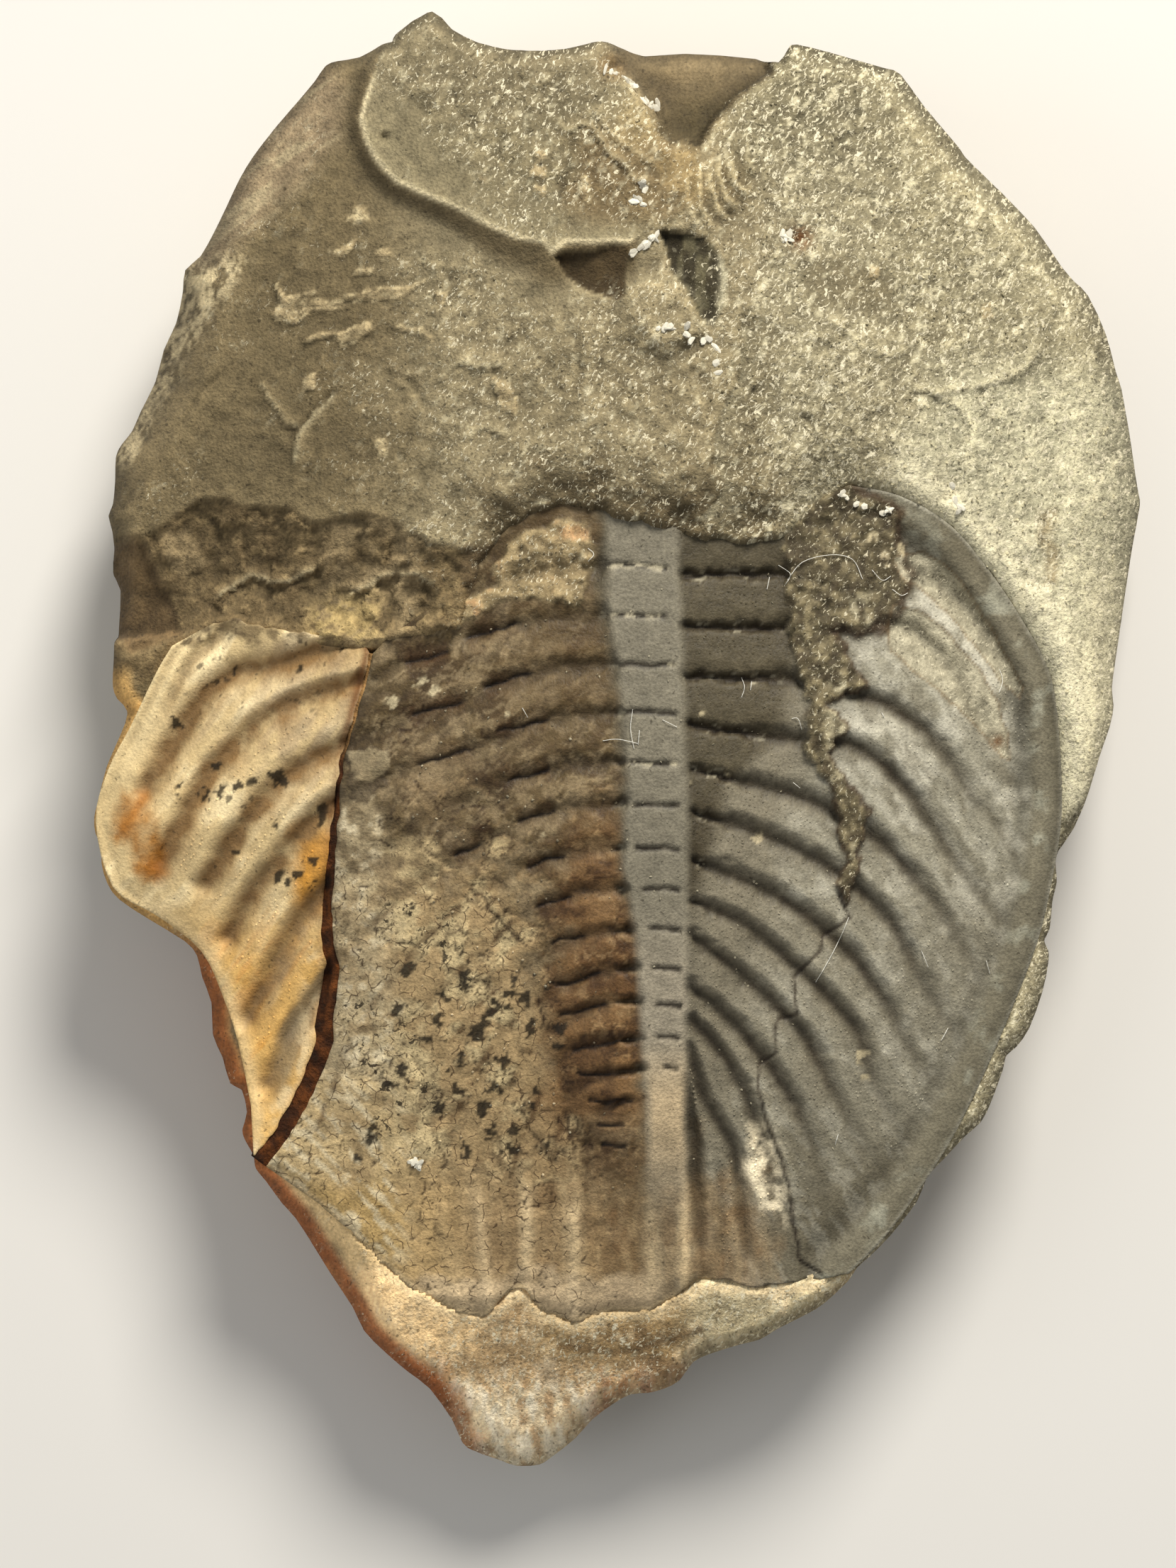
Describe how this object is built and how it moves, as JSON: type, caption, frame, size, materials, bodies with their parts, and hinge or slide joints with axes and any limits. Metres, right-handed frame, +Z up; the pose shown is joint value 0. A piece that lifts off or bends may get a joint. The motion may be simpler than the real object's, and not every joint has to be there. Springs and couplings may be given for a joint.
{
  "type": "fossil odontochile trilobite",
  "caption": "Loose piece of limestone with the ribbed tail shield of a large trilobite on its face, crossed by an iron-filled crack; lies flat as a display specimen.",
  "frame": {"origin": "middle of the bounding box, on the flat spot under the belly that the rock rests on", "axes": "+Y towards the animal's head end, along the rock's length; +X to the right as seen from above; +Z up, out of the face that carries the fossil"},
  "size_m": [0.072, 0.0994, 0.0256],
  "materials": {
    "limestone": "matte",
    "grey_shell": "satin",
    "cream_shell": "satin",
    "iron_vein": "matte"
  },
  "bodies": {
    "root": {"matrix": "limestone", "tail_shield": "grey_shell", "left_flank": "cream_shell", "vein": "iron_vein"}
  },
  "joints": []
}
